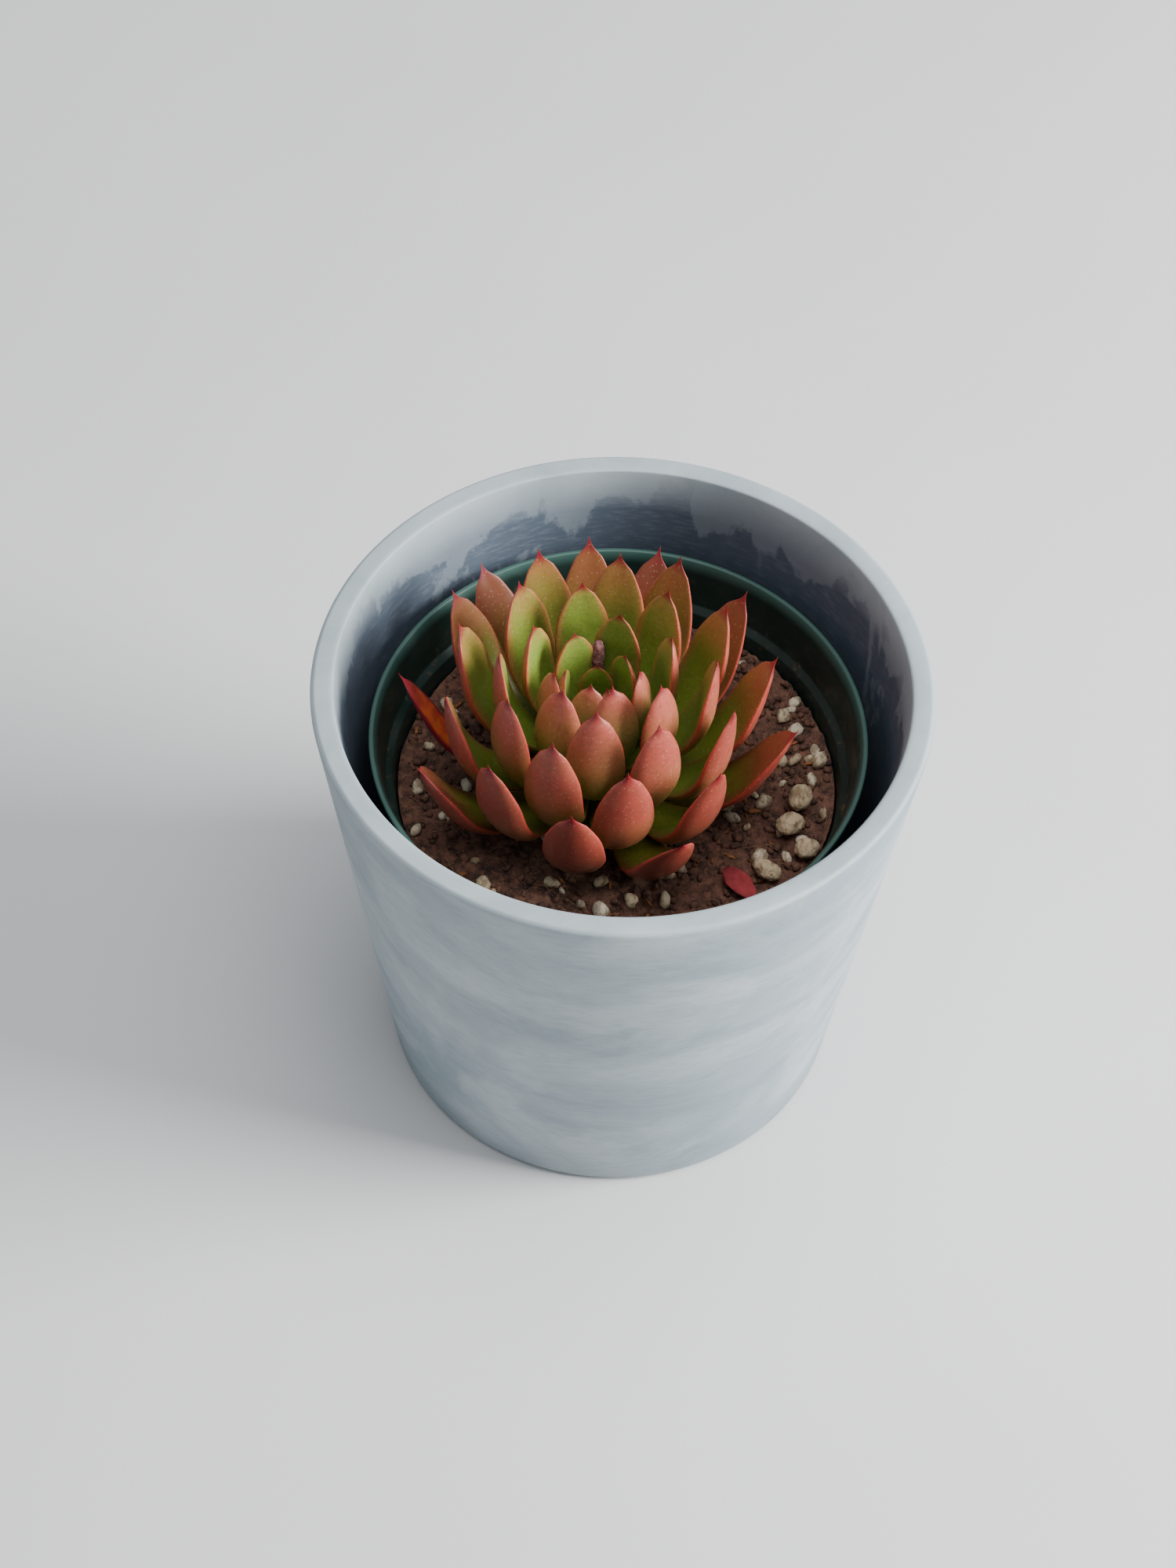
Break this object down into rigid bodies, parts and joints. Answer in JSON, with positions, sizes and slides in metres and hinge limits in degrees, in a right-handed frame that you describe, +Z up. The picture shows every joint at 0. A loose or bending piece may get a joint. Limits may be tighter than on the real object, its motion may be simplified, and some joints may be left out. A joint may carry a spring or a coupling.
{
  "type": "potted succulent",
  "caption": "Rosette succulent with pointed waxy leaves, rooted in a thin nursery pot that stands inside a thick-walled tapered planter.",
  "frame": {"origin": "middle of the planter's underside, on the surface it stands on", "axes": "+Z up; the side with the two steep pink-backed leaves in front of the heart faces -Y"},
  "size_m": [0.1498, 0.1498, 0.1469],
  "materials": {
    "grey_blue_planter": "matte, cloudy, brushed level round the outside",
    "dark_green_plastic": "satin, thin and slightly see-through at the rim",
    "potting_mix": "rough, fibrous, with pale grains",
    "stem_bark": "rough",
    "withered_stalk": "dry, ribbed",
    "pumice": "rough, pitted",
    "withered_leaf": "dry, folded",
    "leaf_green": "waxy satin",
    "leaf_blushed": "waxy satin",
    "leaf_dried": "dry, twisted"
  },
  "bodies": {
    "root": {"fallen_leaf": "withered_leaf", "flower_stalk_stub_back": "withered_stalk", "flower_stalk_stub_front": "withered_stalk", "leaf_01": "leaf_blushed", "leaf_02": "leaf_blushed", "leaf_03": "leaf_blushed", "leaf_04": "leaf_blushed", "leaf_05": "leaf_blushed", "leaf_06": "leaf_blushed", "leaf_07": "leaf_blushed", "leaf_08": "leaf_dried", "leaf_09": "leaf_blushed", "leaf_10": "leaf_blushed", "leaf_11": "leaf_blushed", "leaf_12": "leaf_blushed", "leaf_13": "leaf_blushed", "leaf_14": "leaf_blushed", "leaf_15": "leaf_blushed", "leaf_16": "leaf_blushed", "leaf_17": "leaf_blushed", "leaf_18": "leaf_blushed", "leaf_19": "leaf_blushed", "leaf_20": "leaf_blushed", "leaf_21": "leaf_blushed", "leaf_22": "leaf_blushed", "leaf_23": "leaf_blushed", "leaf_24": "leaf_blushed", "leaf_25": "leaf_green", "leaf_26": "leaf_green", "leaf_27": "leaf_green", "leaf_28": "leaf_green", "leaf_29": "leaf_green", "leaf_30": "leaf_green", "leaf_31": "leaf_green", "leaf_32": "leaf_green", "leaf_33": "leaf_green", "leaf_34": "leaf_green", "leaf_35": "leaf_green", "leaf_36": "leaf_green", "leaf_37": "leaf_green", "leaf_38": "leaf_green", "leaf_39": "leaf_green", "leaf_40": "leaf_green", "leaf_41": "leaf_green", "leaf_42": "leaf_green", "leaf_43": "leaf_green", "leaf_44": "leaf_green", "leaf_45": "leaf_green", "leaf_46": "leaf_green", "leaf_47": "leaf_green", "leaf_48": "leaf_green", "nursery_pot": "dark_green_plastic", "planter": "grey_blue_planter", "potting_mix": "potting_mix", "pumice_stone_front": "pumice", "pumice_stone_large": "pumice", "pumice_stone_pale": "pumice", "pumice_stone_round": "pumice", "stem": "stem_bark"}
  },
  "joints": []
}
